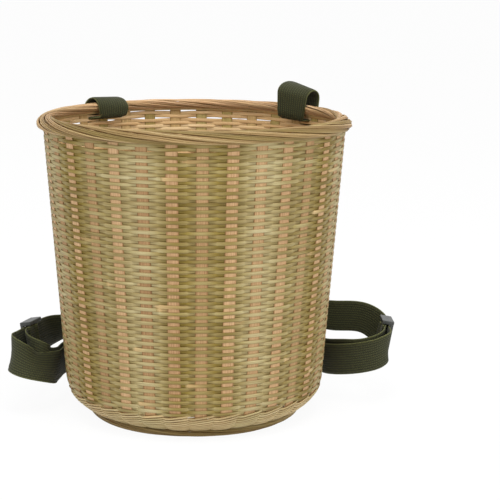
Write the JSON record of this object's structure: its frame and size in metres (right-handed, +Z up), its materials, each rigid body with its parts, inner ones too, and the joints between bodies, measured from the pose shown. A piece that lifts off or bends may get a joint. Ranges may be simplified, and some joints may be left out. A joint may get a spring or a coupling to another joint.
{
  "type": "bamboo back basket",
  "caption": "Round woven bamboo back basket with a rolled rim, a foot hoop and adjustable webbing shoulder straps.",
  "frame": {"origin": "centre of the foot hoop's underside, on the surface that the basket stands on", "axes": "+Z up; -Y is the front, away from the straps' rim loops; +X is the viewer's right"},
  "size_m": [0.3081, 0.24, 0.2469],
  "materials": {
    "bamboo_stake": "split bamboo, matt",
    "bamboo_weft": "green-skinned splint, satin",
    "bamboo_twining": "fine splint, satin",
    "bamboo_rim": "green-skinned splint, satin",
    "bamboo_foot": "bent splint, satin",
    "webbing": "woven olive webbing, matt",
    "thread": "twisted thread",
    "slider_plastic": "moulded, satin"
  },
  "bodies": {
    "basket": {"side_strip_1": "bamboo_stake", "side_strip_2": "bamboo_stake", "side_strip_3": "bamboo_stake", "side_strip_4": "bamboo_stake", "side_strip_5": "bamboo_stake", "side_strip_6": "bamboo_stake", "side_strip_7": "bamboo_stake", "side_strip_8": "bamboo_stake", "front_strip_1": "bamboo_stake", "front_strip_2": "bamboo_stake", "front_strip_3": "bamboo_stake", "front_strip_4": "bamboo_stake", "front_strip_5": "bamboo_stake", "front_strip_6": "bamboo_stake", "front_strip_7": "bamboo_stake", "front_strip_8": "bamboo_stake", "half_strip": "bamboo_stake", "weft_band_01": "bamboo_weft", "weft_band_02": "bamboo_weft", "weft_band_03": "bamboo_weft", "weft_band_04": "bamboo_weft", "weft_band_05": "bamboo_weft", "weft_band_06": "bamboo_weft", "weft_band_07": "bamboo_weft", "weft_band_08": "bamboo_weft", "weft_band_09": "bamboo_weft", "weft_band_10": "bamboo_weft", "weft_band_11": "bamboo_weft", "weft_band_12": "bamboo_weft", "weft_band_13": "bamboo_weft", "corner_twining": "bamboo_twining", "foot_hoop": "bamboo_foot", "rim_hoop_inner": "bamboo_rim", "rim_hoop_outer": "bamboo_rim", "rim_roll": "bamboo_rim", "right_rim_loop": "webbing", "right_loop_stitches": "thread", "right_hanging_webbing": "webbing", "right_lower_turn": "webbing", "left_rim_loop": "webbing", "left_loop_stitches": "thread", "left_hanging_webbing": "webbing", "left_lower_turn": "webbing"},
    "right_strap": {"right_strap_webbing": "webbing", "right_inner_layer": "webbing"},
    "right_slider": {"right_slider": "slider_plastic", "right_sewn_end": "webbing"},
    "left_strap": {"left_strap_webbing": "webbing", "left_inner_layer": "webbing"},
    "left_slider": {"left_slider": "slider_plastic", "left_sewn_end": "webbing"}
  },
  "joints": [
    {"name": "right_strap_swing", "type": "hinge", "parent": "basket", "child": "right_strap", "pos_m": [0.07935, 0.0756, 0.03203], "axis": [0, 0, 1], "range_deg": [0, 100]},
    {"name": "right_slider_slide", "type": "slide", "parent": "right_strap", "child": "right_slider", "axis": [0, -1, 0], "range_m": [-0.01, 0.01], "deforming": ["right_inner_layer"]},
    {"name": "left_strap_swing", "type": "hinge", "parent": "basket", "child": "left_strap", "pos_m": [-0.07174, 0.08285, 0.03203], "axis": [0, 0, -1], "range_deg": [0, 100]},
    {"name": "left_slider_slide", "type": "slide", "parent": "left_strap", "child": "left_slider", "axis": [-0.342, -0.9397, 0], "range_m": [-0.01, 0.01], "deforming": ["left_inner_layer"]}
  ]
}
